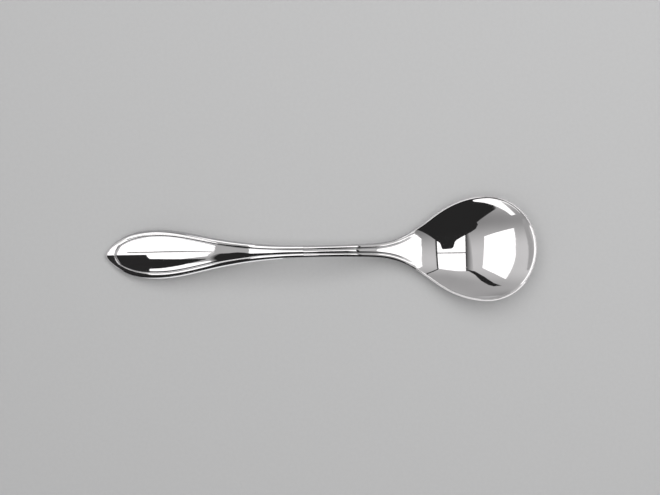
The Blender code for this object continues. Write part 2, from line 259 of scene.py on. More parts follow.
class SpoonStudio(bpy.types.PropertyGroup):
    """The floor, the light and the camera"""

    floor: colour("Floor", (0.52, 0.52, 0.522), "Plain pale floor")
    ambient: colour("Ambient", (0.385, 0.385, 0.385), "Light that the room sends on the floor")
    key_power: bpy.props.FloatProperty(
        name="Key power",
        description="Power of the soft lamp that lights the floor",
        default=4.6,
        unit="POWER",
    )
    key_right: length("Key right", 200.0, "How far towards the bowl the key lamp hangs")
    key_back: length("Key back", 250.0, "How far behind the spoon the key lamp hangs")
    key_height: length("Key height", 600.0, "How high the key lamp hangs")
    key_width: length("Key width", 1000.0, "Width of the key lamp along the spoon")
    key_depth: length("Key depth", 800.0, "Width of the key lamp across the spoon")
    surround: colour("Surround", (0.45, 0.45, 0.455), "Grey walls of the room")
    floor_size: length("Floor size", 6000.0, "Side of the floor")
    camera_height: length("Camera height", 600.0, "Height of the camera above the floor")
    camera_x: length("Camera X", 3.25, "Place of the camera along the spoon")
    camera_y: length("Camera Y", 1.18, "Place of the camera across the spoon")
    framing_height: length("Framing height", 8.0, "Height at which the picture has its stated width")
    picture_width: length("Picture width", 213.05, "Width that the picture shows")
    camera_turn: bpy.props.FloatProperty(
        name="Camera turn",
        description="Turn of the camera about the upright",
        default=math.radians(-1.08),
        subtype="ANGLE",
        unit="ROTATION",
    )


def smooth_curve(knots, start_slope=0.0, end_slope=0.0):
    """A cubic spline of even curvature through (station, value) knots, with its end slopes set."""
    stations, values = np.array(knots, float).T
    runs = np.diff(stations)
    rises = np.diff(values)
    count = len(stations)
    matrix = np.eye(count)
    slopes = np.zeros(count)
    slopes[0] = start_slope
    slopes[-1] = end_slope
    for knot in range(1, count - 1):
        before = runs[knot - 1]
        after = runs[knot]
        matrix[knot, knot - 1 : knot + 2] = (1 / before, 2 / before + 2 / after, 1 / after)
        slopes[knot] = 3 * (rises[knot - 1] / before**2 + rises[knot] / after**2)
    slopes = np.linalg.solve(matrix, slopes)

    def value_at(station):
        part = np.clip(np.searchsorted(stations, station) - 1, 0, count - 2)
        run = runs[part]
        along = (station - stations[part]) / run
        rest = 1 - along
        return (
            rest**2 * (1 + 2 * along) * values[part]
            + rest**2 * along * run * slopes[part]
            + along**2 * (1 + 2 * rest) * values[part + 1]
            - along**2 * rest * run * slopes[part + 1]
        )

    return value_at


def quarter_round(reach):
    """A quarter of an ellipse: 0 at reach 0, and 1, level, from reach 1 on."""
    return np.sqrt(1 - (1 - np.clip(reach, 0, 1)) ** 2)


def ease(reach):
    """A smooth step from 0 to 1."""
    reach = np.clip(reach, 0, 1)
    return reach**2 * (3 - 2 * reach)


class SpoonShape:
    """The spoon's stations, curves and faces, worked out from its settings."""

    def __init__(self, scene):
        outline = scene.spoon_outline
        profile = scene.spoon_profile
        trim = scene.spoon_trim
        self.outline = outline
        self.profile = profile
        self.trim = trim
        self.blade = outline.point_run
        self.taper = self.blade + outline.taper_run
        self.stem = self.taper + outline.stem_run
        self.neck = self.stem + outline.neck_run
        self.flare = self.neck + outline.flare_run
        self.throat = self.flare + outline.throat_run
        self.joint = self.throat + outline.joint_run
        self.cheek = self.joint + outline.cheek_run
        self.belly = self.cheek + outline.belly_run
        self.front = self.belly + outline.front_run
        self.deepest = self.joint + profile.deepest_run
        self.heel_end = self.joint + trim.heel_length
        self.side_curve = smooth_curve(
            [
                (self.blade, outline.blade_width / 2),
                (self.taper, outline.taper_width / 2),
                (self.stem, outline.stem_width / 2),
                (self.neck, outline.neck_width / 2),
                (self.flare, outline.flare_width / 2),
                (self.throat, outline.throat_width / 2),
                (self.joint, outline.joint_width / 2),
                (self.cheek, outline.cheek_width / 2),
                (self.belly, outline.belly_width / 2),
            ]
        )
        self.middle_height = smooth_curve(
            [
                (0, profile.point_height),
                (self.blade, profile.blade_height),
                (self.taper, profile.taper_height),
                (self.stem, profile.stem_height),
                (self.neck, profile.neck_height),
                (self.flare, profile.flare_height),
                (self.joint, profile.joint_height),
                (self.deepest, trim.gauge - trim.rest_depth),
                (self.front, profile.front_height),
            ],
            profile.point_slope,
            profile.front_slope,
        )
        self.cross_curvature = smooth_curve(
            [
                (0, 0),
                (self.neck, 0),
                (self.flare, 0),
                (self.throat, 1 / profile.throat_dish),
                (self.joint, 1 / profile.joint_dish),
                (self.deepest, 1 / profile.deepest_dish),
                (self.belly, 1 / profile.belly_dish),
                (self.front, 1 / profile.front_dish),
            ]
        )
        self.thickness = smooth_curve(
            [
                (0, profile.point_thickness),
                (self.blade, profile.blade_thickness),
                (self.stem, profile.stem_thickness),
                (self.neck, profile.neck_thickness),
                (self.joint, trim.gauge + trim.braze + trim.heel_root),
                (self.heel_end, trim.gauge + trim.braze + trim.heel_end),
            ]
        )
        self.side_drop = smooth_curve(
            [
                (0, profile.point_side),
                (self.blade, profile.blade_side),
                (self.neck, profile.neck_side),
                (self.joint, profile.joint_side),
                (self.heel_end, profile.joint_side),
            ]
        )
        self.thread_curve = smooth_curve(
            [
                (0, trim.blade_thread),
                (self.taper, trim.blade_thread),
                (self.neck, trim.neck_thread),
                (self.joint, trim.joint_thread),
            ]
        )
        self.crest_curve = smooth_curve(
            [
                (0, trim.beak_crest),
                (self.blade, trim.thread_crest),
                (self.taper, trim.thread_crest),
                (self.neck, trim.neck_crest),
                (self.joint, trim.thread_crest),
            ]
        )

    def half_width(self, station):
        """Half of the outline: the ogive of the point, the curved sides and the round front."""
        short = np.clip(1 - station / self.blade, 0, 1)
        past = np.clip((station - self.belly) / self.outline.front_run, 0, 1)
        ogive = (1 - short**self.outline.point_fullness) ** self.outline.point_sharpness
        return self.side_curve(np.clip(station, self.blade, self.belly)) * ogive * np.sqrt(1 - past**2)

    def beak(self, station):
        """How much of the section is the roof-like beak: all at the point, none from the panel on."""
        return 1 - ease(station / self.profile.beak_length)

    def keel_fall(self, station, across):
        """How far the upper face falls from the keel: a roof at the beak, then an ogee across the panel."""
        reach = np.maximum(self.half_width(station) - self.thread_curve(station), GRADIENT_STEP)
        ogee = reach / math.pi * (1 - np.cos(math.pi * np.minimum(across / reach, 1)))
        roof = np.hypot(across, self.profile.ridge_round) - self.profile.ridge_round
        left = ease((self.throat - station) / self.profile.keel_runout)
        return left * self.profile.keel_slope * (ogee + (roof - ogee) * self.beak(station))

    def upper_height(self, station, across):
        """The upper face without its thread: keeled on the handle, dished in the bowl."""
        dish = self.cross_curvature(station) * across**2 / 2
        return self.middle_height(station) + dish - self.keel_fall(station, across)

    def upper_gradient(self, station, across):
        """Slopes of the upper face along and across the spoon."""
        ahead = self.upper_height(station + GRADIENT_STEP, across)
        behind = self.upper_height(station - GRADIENT_STEP, across)
        return (ahead - behind) / (2 * GRADIENT_STEP), self.cross_curvature(station) * across

    def under_height(self, station, across):
        """The underside of the bowl's shell."""
        along, sideways = self.upper_gradient(station, across)
        return self.upper_height(station, across) - self.trim.gauge * np.sqrt(1 + along**2 + sideways**2)

    def thread_relief(self, station):
        """How much of the thread's relief is left: it runs out before the joint."""
        return ease((self.joint - station) / self.trim.relief_runout)


def weld_grid(name, points, wear, groove):
    """A smooth mesh of quads over rows of points, welded where they meet, with its wear painted on."""
    mesh = bpy.data.meshes.new(name)
    shape = bmesh.new()
    worn = shape.verts.layers.float.new("wear")
    grooved = shape.verts.layers.float.new("groove")
    lines = []
    for row, row_wear, row_groove in zip(points, wear, groove):
        line = [shape.verts.new(point) for point in row]
        for vert, vert_wear, vert_groove in zip(line, row_wear, row_groove):
            vert[worn] = vert_wear
            vert[grooved] = vert_groove
        lines.append(line)
    for line, following in zip(lines, lines[1:]):
        for step in range(len(line) - 1):
            shape.faces.new((line[step], line[step + 1], following[step + 1], following[step]))
    bmesh.ops.remove_doubles(shape, verts=shape.verts, dist=WELD)
    shape.to_mesh(mesh)
    shape.free()
    mesh.shade_smooth()
    mesh.set_sharp_from_angle(angle=SHARP_ANGLE)
    return mesh


class HandleLoft:
    """Half of the handle, lofted from the middle of its face round its side to the middle of its back.

    Columns up to the joint are whole sections of the handle. Those after it are sections of the heel, which
    keeps only what lies under the bowl's shell.
    """

    def __init__(self, shape):
        self.shape = shape
        self.points = []
        self.wear = []
        self.groove = []
        point = self.shape.blade * np.linspace(0, 1, POINT_COLUMNS, endpoint=False) ** 2
        body = np.linspace(shape.blade, shape.joint, BODY_COLUMNS)
        turns = np.linspace(0, math.pi / 2, HEEL_COLUMNS)
        self.columns = np.concatenate([point, body])
        self.heel = shape.joint + shape.trim.heel_length * np.sin(turns)
        self.heel_width = shape.half_width(shape.joint) * np.cos(turns)
        self.emerge = self.emerging_turn()

    def heel_back(self, turn):
        """Place across and height of the heel's elliptic back, at a turn from its side to its middle."""
        shape = self.shape
        side = shape.upper_height(self.heel, self.heel_width) - shape.side_drop(self.heel)
        depth = side - (shape.middle_height(self.heel) - shape.thickness(self.heel))
        return self.heel_width * np.cos(turn), side - depth * np.sin(turn)

    def emerging_turn(self):
        """The turn at which the heel's back comes out of the bowl's underside."""
        low = np.zeros_like(self.heel)
        high = np.full_like(self.heel, math.pi / 2)
        for _ in range(SOLVE_STEPS):
            middle = (low + high) / 2
            across, height = self.heel_back(middle)
            hidden = height > self.shape.under_height(self.heel, across)
            low = np.where(hidden, middle, low)
            high = np.where(hidden, high, middle)
        return high

    def stations(self, start):
        """The columns, drawn together so that a row begins on the middle line at its own start."""
        return start + self.columns * (self.shape.joint - start) / self.shape.joint

    def add_row(self, station, across, height, offset, heel_across, heel_height):
        """One row: the handle's part with its relief, and the heel's part."""
        trim = self.shape.trim
        rows = np.concatenate([station, self.heel]), np.concatenate([across, heel_across])
        heights = np.concatenate([height + offset, heel_height])
        self.points.append(np.column_stack([POINT_X + rows[0], rows[1], np.maximum(heights, 0)]))
        flat = np.zeros_like(self.heel)
        rest = (heights <= 0).astype(float)
        crest = np.concatenate([np.clip(offset / trim.thread_rise, 0, 1), flat])
        self.wear.append(np.maximum(crest, rest))
        self.groove.append(np.concatenate([np.clip(-offset / trim.groove_depth, 0, 1), flat]))

    def add_face_row(self, start, inset, across_share, nose, offset_at, heel_share):
        """A row of the upper face, set in from the side, and of the heel's top under the bowl."""
        shape = self.shape
        station = self.stations(start)
        rounding = quarter_round((station - start) / nose) if nose > 0 else 1.0
        across = across_share * (shape.half_width(station) - inset(station)) * rounding
        heel_across = heel_share * self.heel_back(self.emerge)[0]
        self.add_row(
            station,
            across,
            shape.upper_height(station, across),
            offset_at(station),
            heel_across,
            shape.under_height(self.heel, heel_across),
        )

    def add_panel(self):
        """The keeled panel, from the middle of the handle out to its edge."""
        trim = self.shape.trim
        for middle in np.linspace(1, 0, PANEL_ROWS):
            self.add_face_row(
                start=trim.panel_setback + trim.groove_flank + middle * trim.panel_nose,
                inset=lambda station: self.shape.thread_curve(station) + trim.groove_flank,
                across_share=1 - middle,
                nose=trim.nose_round,
                offset_at=np.zeros_like,
                heel_share=HEEL_PANEL * (1 - middle),
            )

    def add_flank(self):
        """The groove's inner flank, from the panel's edge down to the bottom of the groove."""
        trim = self.shape.trim
        for rise in np.linspace(1, 0, FLANK_ROWS, endpoint=False)[1:]:
            depth = trim.groove_depth * (1 + math.cos(math.pi * rise)) / 2
            self.add_face_row(
                start=trim.panel_setback + rise * trim.groove_flank,
                inset=lambda station: self.shape.thread_curve(station) + rise * trim.groove_flank,
                across_share=1,
                nose=trim.nose_round,
                offset_at=lambda station: -depth * self.shape.thread_relief(station),
                heel_share=HEEL_PANEL + HEEL_FLANK * (1 - rise),
            )

    def thread_offset(self, place, station):
        """Height of the thread over the upper face, at a place from the side (0) to the groove (1)."""
        shape = self.shape
        trim = shape.trim
        crest = shape.crest_curve(station)
        brow = crest + (trim.beak_brow - crest) * shape.beak(station)
        inside = (1 - np.cos(math.pi * np.clip((1 - place) / (1 - crest), 0, 1))) / 2
        outside = quarter_round(place / brow)
        relief = trim.thread_rise * inside * outside - trim.groove_depth * (1 - inside)
        return relief * shape.thread_relief(station) - (1 - outside) * shape.side_drop(station)

    def add_thread(self):
        """The thread, from the bottom of the groove over its crest to the side of the handle."""
        shape = self.shape
        trim = shape.trim
        inner = np.linspace(1, trim.thread_crest, GROOVE_ROWS, endpoint=False)
        outer = trim.thread_crest * (1 - np.sin(np.linspace(0, math.pi / 2, CREST_ROWS)))
        for place in np.concatenate([inner, outer]):
            self.add_face_row(
                start=place * trim.panel_setback,
                inset=lambda station: place * shape.thread_curve(station),
                across_share=1,
                nose=place * trim.nose_round,
                offset_at=lambda station: self.thread_offset(place, station),
                heel_share=1 - (1 - HEEL_PANEL - HEEL_FLANK) * place,
            )

    def add_back(self):
        """The rounded back, from near the side to the middle."""
        shape = self.shape
        trim = shape.trim
        for turn in np.linspace(0, math.pi / 2, BACK_ROWS)[1:]:
            inward = 1 - math.cos(turn)
            start = inward * trim.panel_setback
            station = self.stations(start)
            edge = shape.half_width(station)
            across = (1 - inward) * edge * quarter_round((station - start) / (inward * trim.nose_round))
            side = shape.upper_height(station, edge) - shape.side_drop(station)
            depth = side - (shape.middle_height(station) - shape.thickness(station))
            under = self.emerge + (math.pi / 2 - self.emerge) * turn / (math.pi / 2)
            self.add_row(
                station, across, side - depth * math.sin(turn), np.zeros_like(station), *self.heel_back(under)
            )

    def mesh(self):
        """The finished half of the handle."""
        self.add_panel()
        self.add_flank()
        self.add_thread()
        self.add_back()
        return weld_grid("handle_polished", self.points, self.wear, self.groove)


class BowlShell:
    """Half of the bowl's shell, as sections from its hub: under the shell, round the rim and back over it."""

    def __init__(self, shape):
        self.shape = shape
        self.hub = (shape.deepest + shape.belly) / 2
        turns = np.linspace(0, math.pi / 2, FRONT_COLUMNS, endpoint=False)
        front = shape.belly + shape.outline.front_run * np.cos(turns)
        cheek = np.linspace(shape.belly, shape.joint, CHEEK_COLUMNS)
        self.rim = np.concatenate([front, cheek])
        self.width = shape.half_width(self.rim)

    def near_joint(self, station):
        """1 at the joint and 0 from where the rim has turned into it."""
        return 1 - ease((station - self.shape.joint) / self.shape.trim.rim_turn)

    def normals(self, station, across):
        """Directions square to the upper face, leaning less along the spoon near the joint."""
        along, sideways = self.shape.upper_gradient(station, across)
        square = np.column_stack([-along, -sideways, np.ones_like(along)])
        square /= np.linalg.norm(square, axis=1)[:, None]
        lean = square.copy()
        lean[:, 0] *= 1 - self.near_joint(station)
        return lean / np.sum(lean * square, axis=1)[:, None]

    def outward(self):
        """Level directions out of the outline, square across the spoon at the joint."""
        ends = np.column_stack([np.gradient(self.rim), np.gradient(self.width)])
        out = np.column_stack([ends[:, 1], -ends[:, 0]])
        out /= np.linalg.norm(out, axis=1)[:, None]
        blend = self.near_joint(self.rim)[:, None]
        out = out * (1 - blend) + np.array([0.0, 1.0]) * blend
        out[0] = (1, 0)
        return out / np.linalg.norm(out, axis=1)[:, None]

    def rim_edge(self):
        """The rim's inner edge, set in so that the rounded rim's outside lies on the outline."""
        trim = self.shape.trim
        along, sideways = self.shape.upper_gradient(self.rim, self.width)
        slope = np.hypot(along, sideways)
        lean = np.arctan(slope)
        inset = trim.gauge * np.sin(lean) - trim.rim_round * (np.sin(lean) + np.cos(lean) - 1)
        station = self.rim - inset * along / slope * (1 - self.near_joint(self.rim))
        return station, self.width - inset * sideways / slope

    def rim_sections(self):
        """Sections of the rounded rim, from the underside to the upper face."""
        shape = self.shape
        trim = shape.trim
        station, across = self.rim_edge()
        square = self.normals(station, across)
        out = self.outward()
        along, sideways = shape.upper_gradient(station, across)
        rise = out[:, 0] * along + out[:, 1] * sideways
        tangent = np.column_stack([out, rise])
        tangent /= np.linalg.norm(tangent, axis=1)[:, None]
        edge = np.column_stack([station, across, shape.upper_height(station, across)])
        rounding = np.linspace(0, math.pi / 2, ROUND_STEPS)
        lower = [(math.sin(turn) - 1, math.cos(turn) - 1) for turn in rounding]
        places = [(inward, -trim.gauge - up * trim.rim_round) for inward, up in lower]
        places += [(inward, up * trim.rim_round) for inward, up in reversed(lower)]
        return [edge + tangent * inward * trim.rim_round + square * depth for inward, depth in places]

    def mesh(self):
        """The finished half of the bowl."""
        shape = self.shape
        trim = shape.trim
        rim = self.rim_sections()
        corner = rim[-1][-1, 1]
        seam = corner * np.linspace(1, 0, SEAM_COLUMNS)[1:]
        joint = np.full_like(seam, shape.joint)
        seam_top = shape.upper_height(joint, seam)
        seam_under = shape.under_height(joint, seam)
        edges = []
        for step, section in enumerate(rim):
            height = seam_under + (seam_top - seam_under) * step / (len(rim) - 1)
            edges.append(np.vstack([section, np.column_stack([joint, seam, height])]))
        rows = self.rings(edges[-1], trim.gauge)[:-1] + edges + self.rings(edges[-1], 0.0)[-2::-1]
        heights = np.array([row[:, 2] for row in rows])
        wear = (heights <= 0).astype(float)
        wear[BOWL_RINGS : BOWL_RINGS + len(edges), : len(self.rim)] = 1
        points = [np.column_stack([POINT_X + row[:, 0], row[:, 1], np.maximum(row[:, 2], 0)]) for row in rows]
        return weld_grid("bowl_polished", points, wear, np.zeros_like(wear))

    def rings(self, edge, depth):
        """Rings of the upper face drawn out from the hub to its edge, or of the underside at that depth."""
        found = []
        for reach in np.linspace(0, 1, BOWL_RINGS + 1):
            station = self.hub + reach * (edge[:, 0] - self.hub)
            across = reach * edge[:, 1]
            upper = np.column_stack([station, across, self.shape.upper_height(station, across)])
            found.append(upper - self.normals(station, across) * depth)
        return found


class Socket:
    """An output socket of a node tree. Python's arithmetic on it adds Math nodes."""

    def __init__(self, tree, output=None):
        self.tree = tree
        self.output = output

    def node(self, kind, settings=None, inputs=None, output=0):
        """Adds a node, sets it up, fills its sockets with values or links and gives one of its outputs."""
        node = self.tree.nodes.new(kind)
        for name, value in (settings or {}).items():
            setattr(node, name, value)
        for name, value in (inputs or {}).items():
            if isinstance(value, Socket):
                self.tree.links.new(value.output, node.inputs[name])
            else:
                node.inputs[name].default_value = value
        return Socket(self.tree, node.outputs[output]) if len(node.outputs) else None

    def maths(self, operation, first, second):
        """Adds a Math node."""
        return self.node("ShaderNodeMath", {"operation": operation}, {0: first, 1: second})

    def __add__(self, other):
        return self.maths("ADD", self, other)

    def __radd__(self, other):
        return self.maths("ADD", other, self)

    def __sub__(self, other):
        return self.maths("SUBTRACT", self, other)

    def __rsub__(self, other):
        return self.maths("SUBTRACT", other, self)

    def __mul__(self, other):
        return self.maths("MULTIPLY", self, other)

    def __rmul__(self, other):
        return self.maths("MULTIPLY", other, self)

    def step(self, low, high):
        """A smooth step from 0 at the low value to 1 at the high value."""
        return self.node(
            "ShaderNodeMapRange",
            {"interpolation_type": "SMOOTHSTEP"},
            {"Value": self, "From Min": low, "From Max": high},
        )

    def blend(self, first, second):
        """Goes from the first colour to the second as this value goes from 0 to 1."""
        return self.node(
            "ShaderNodeMix", {"data_type": "RGBA"}, {"Factor": self, 6: first, 7: second}, output=2
        )


def opaque(rgb):
    """The colour with full alpha."""
    return (*rgb, 1.0)


def polished_silver(name, polish, hairline_stretch):
    """Mirror-polished metal with a breath of tarnish, hairline scratches, worn edges and dull grooves."""
    material = bpy.data.materials.new(name)
    material.use_nodes = True
    tree = material.node_tree
    tree.nodes.clear()
    start = Socket(tree)
    place = start.node("ShaderNodeTexCoord", output="Object")
    wear = start.node("ShaderNodeAttribute", {"attribute_name": "wear"}, output="Fac")
    groove = start.node("ShaderNodeAttribute", {"attribute_name": "groove"}, output="Fac")

    breath = place.node("ShaderNodeTexNoise", inputs={"Vector": place, "Scale": TARNISH_SCALE, "Detail": 3.0})
    drawn = place.node("ShaderNodeMapping", inputs={"Vector": place, "Scale": hairline_stretch})
    strokes = place.node("ShaderNodeTexNoise", inputs={"Vector": drawn, "Scale": 1.0, "Detail": 2.0})
    spots = place.node("ShaderNodeTexNoise", inputs={"Vector": place, "Scale": PATCH_SCALE})
    tarnish = breath.step(*TARNISH_LEVELS)
    hairlines = strokes.step(*HAIRLINE_LEVELS)
    patches = spots.step(*PATCH_LEVELS)
    scratches = hairlines * (LEAST_SCRATCH + (1 - LEAST_SCRATCH) * patches)
    worn = wear * (LEAST_WEAR + (1 - LEAST_WEAR) * patches)

    metal = tarnish.blend(opaque(polish.bright), opaque(polish.dull))
    metal = (groove.step(*GROOVE_LEVELS) * GROOVE_TONE).blend(metal, opaque(polish.groove))
    roughness = polish.polish + scratches * polish.hairline + (worn + groove) * polish.wear
    bump = place.node(
        "ShaderNodeBump", inputs={"Strength": 1.0, "Distance": polish.scratch_depth, "Height": 1 - scratches}
    )
    shader = place.node(
        "ShaderNodeBsdfPrincipled",
        inputs={"Base Color": metal, "Metallic": 1.0, "Roughness": roughness, "Normal": bump},
    )
    place.node("ShaderNodeOutputMaterial", inputs={"Surface": shader})
    return material


def add_piece(context, mesh, node, material):
    """Shows a polished piece in place of its CAD node."""
    piece = bpy.data.objects.new(mesh.name, mesh)
    context.scene.collection.objects.link(piece)
    piece.data.materials.append(material)
    other_half = piece.modifiers.new("other_half", "MIRROR")
    other_half.use_axis = (False, True, False)
    other_half.use_clip = True
    other_half.merge_threshold = MIRROR_WELD
    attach(piece, BODY)
    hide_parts(node)


class AddBowl(bpy.types.Operator):
    """Adds the dished bowl with its rounded rim"""

    bl_idname = "spoon.add_bowl"
    bl_label = "Add bowl"

    def execute(self, context):
        mesh = BowlShell(SpoonShape(context.scene)).mesh()
        material = polished_silver("bowl_silver", context.scene.spoon_polish, BOWL_STROKES)
        add_piece(context, mesh, "bowl", material)
        return {"FINISHED"}


class AddHandle(bpy.types.Operator):
    """Adds the threaded handle with its heel"""

    bl_idname = "spoon.add_handle"
    bl_label = "Add handle"

    def execute(self, context):
        mesh = HandleLoft(SpoonShape(context.scene)).mesh()
        material = polished_silver("handle_silver", context.scene.spoon_polish, HANDLE_STROKES)
        add_piece(context, mesh, "handle", material)
        return {"FINISHED"}


# Brightness of the studio's cards, whose glow paints light and shade into the polish
LAMP = 1.35
PALE = 0.55
GREY = 0.42
DIM = 0.36
DARK = 0.02
# Heights of the level cards, in metres
CEILING = 0.605
HIGH = 0.6
RAIL = 0.595
FLAG = 0.59
BESIDE = 0.06
NEAR = 0.03
LOW = 0.016
FLAT = 0.001
# The glowing ceiling's size and fineness, and the lines between which its painted light and shade change
# smoothly, from a pale lit band over the spoon to a dusk band of painted shade. Each line slants between the
# same two places along the spoon, and has its place across and its brightness at either end
CEILING_REACH = 1.3
CEILING_DEPTH = 1.9
CEILING_STRIPS = 76
CEILING_COLUMNS = 12
CEILING_SLANT = (-0.83, 0.22)
CEILING_LINES = {
    "front": ((-CEILING_DEPTH, 0.56), (-CEILING_DEPTH, 0.56)),
    "dusk": ((-0.77, 0.31), (-0.5, 0.2)),
    "pale from": ((-0.05, 0.62), (0.2, 0.58)),
    "pale to": ((0.51, 0.62), (0.25, 0.58)),
    "rear": ((1.22, 0.42), (0.69, 0.35)),
    "back": ((CEILING_DEPTH, 0.28), (CEILING_DEPTH, 0.45)),
}
# Bowed band of grey cloth far to the left, glowing with painted light and seen only in the polish: its ends
# and its middle across, its edges along, and its bow
WALL_CLOTH_STRIPS = 16
WALL_CLOTH_ENDS = (-0.77, 0.56)
WALL_CLOTH_MIDDLE = -0.05
WALL_CLOTH_EDGES = (-0.683, -0.716)
WALL_CLOTH_BOW = 0.2
# Glowing strip round the near side of the bowl, seen only in the polish, which paints the rim's bright
# reflected line: its last station, its gap to the rim, its rise above the rim and its brightness at both ends
RIM_LAMP_COLUMNS = 24
RIM_LAMP_END = 0.1375
RIM_LAMP_GAP = 0.003
RIM_LAMP_RISE = 0.0012
RIM_LAMP_GLOWS = (0.6, 1.05)
# Edges that two cards share, as places along and across the spoon
MIDDLE_LAMP_EDGE = ((0.322, -0.3), (0.309, -0.061), (0.306, 0.074), (0.311, 0.214), (0.327, 0.413))
MIDDLE_RAIL_WIDTH = 0.016
STEM_LAMP_EDGE = ((-0.0264, -0.0065), (-0.018, -0.0065), (-0.012, -0.0012), (-0.004, -0.0012))
STEM_CLOTH_EDGE = (
    (-0.0278, -0.0037),
    (-0.0293, 0.0013),
    (-0.0321, 0.0036),
    (-0.0337, 0.0021),
    (-0.0356, -0.0003),
    (-0.0385, -0.0012),
)
BLADE_RAIL_EDGE = ((-0.1085, 0.0185), (-0.1015, 0.013), (-0.094, 0.0106), (-0.054, 0.0106))
BLADE_RAIL_WIDTH = 0.005


def level(height, glow, *places):
    """Corners of a level card or of a part of one, from their places along and across the spoon."""
    return [(along, across, height, glow) for along, across in places]


def upright(across, glow, *places):
    """Corners of an upright card, from their places along the spoon and their heights."""
    return [(along, across, height, glow) for along, height in places]


def rectangle(left, right, near, far):
    """Places of a rectangle's corners."""
    return (left, near), (right, near), (right, far), (left, far)


def band(edge, along, across):
    """Places of a band, out along an edge and back along the same edge moved."""
    return *edge, *((place[0] + along, place[1] + across) for place in reversed(edge))


# Cards over the spoon, by their corners in metres. Only the polish sees them: their glow paints its
# reflections of the lamps and of lit and shaded cloth, dark flags paint the unlit room as shade, and they
# light nothing else
CARDS = {
    "left_lamp": level(
        HIGH, LAMP,
        (-0.277, -0.234), (-0.62, -0.454), (-0.594, -0.2), (-0.583, 0), (-0.592, 0.2), (-0.6, 0.45),
        (-0.603, 0.813), (-0.424, 0.585), (-0.26, 0.407), (-0.262, 0.07),
    ),
    "middle_lamp": level(
        HIGH, LAMP,
        (-0.05, -0.3), (-0.05, 0.468), (0.058, 0.464), (0.207, 0.441), *reversed(MIDDLE_LAMP_EDGE),
    ),
    "right_lamp": level(
        HIGH, LAMP,
        (0.455, -0.215), (0.441, 0), (0.447, 0.12), (0.459, 0.24), (0.471, 0.359), (0.518, 0.438),
        (0.7, 0.69), (1.1, 0.69), (1.1, -0.6), (0.61, -0.6),
    ),
    "low_lamp": upright(
        -0.85, LAMP,
        (-0.674, 0.576), (-0.517, 0.467), (-0.339, 0.365), (-0.216, 0.317), (-0.093, 0.296),
        (-0.08, 0.262), (-0.196, 0.231), (-0.353, 0.289), (-0.537, 0.426), (-0.688, 0.542),
    ),
    "lamp_rail": level(RAIL, DARK, *rectangle(-0.05, 0.306, 0.066, 0.084)),
    "shaded_cloth": [
        *level(RAIL, DARK, (-0.05, -0.42), (-0.05, 0.46)),
        *level(RAIL, PALE, (-0.15, 0.49)),
        *level(RAIL, GREY, (-0.1, -0.42)),
    ],
    "right_rail": level(RAIL, DARK, *band(MIDDLE_LAMP_EDGE, MIDDLE_RAIL_WIDTH, 0)),
    "edge_rail": level(RAIL, DARK, (0.334, 0.408), (0.503, 0.574), (0.493, 0.592), (0.329, 0.424)),
    "corner_flag": level(
        FLAG, DARK,
        (-0.055, 0.415), (-0.171, 0.479), (-0.293, 0.64), (-0.465, 0.924), (-0.597, 1.08),
        (-0.492, 1.09), (-0.394, 0.99), (-0.267, 0.785), (-0.175, 0.58), (-0.081, 0.455),
    ),
    "room_flag": [
        *level(
            FLAG, DARK,
            (0.06, -0.163), (0.086, -0.122), (0.102, -0.037), (0.128, -0.006), (0.211, 0.004),
            (0.243, 0.006), (0.256, -0.027), (0.269, -0.092), (0.284, -0.123), (0.335, -0.187),
            (0.486, -0.406), (0.62, -0.6), (1.2, -0.6), (1.2, -1.25), (-0.52, -1.25),
        ),
        *level(FLAG, GREY, (-0.6, -1.25)),
        *level(
            FLAG, DARK,
            (-0.548, -1.146), (-0.208, -0.569), (-0.218, -0.516), (-0.187, -0.401), (-0.123, -0.321),
            (-0.051, -0.258),
        ),
    ],
    "room_wall": upright(
        -1.26, DARK,
        (-0.62, 0.62), (-0.38, 0.44), (-0.16, 0.38), (-0.13, 0.05), (1.2, 0.05), (1.2, 0.62),
    ),
}
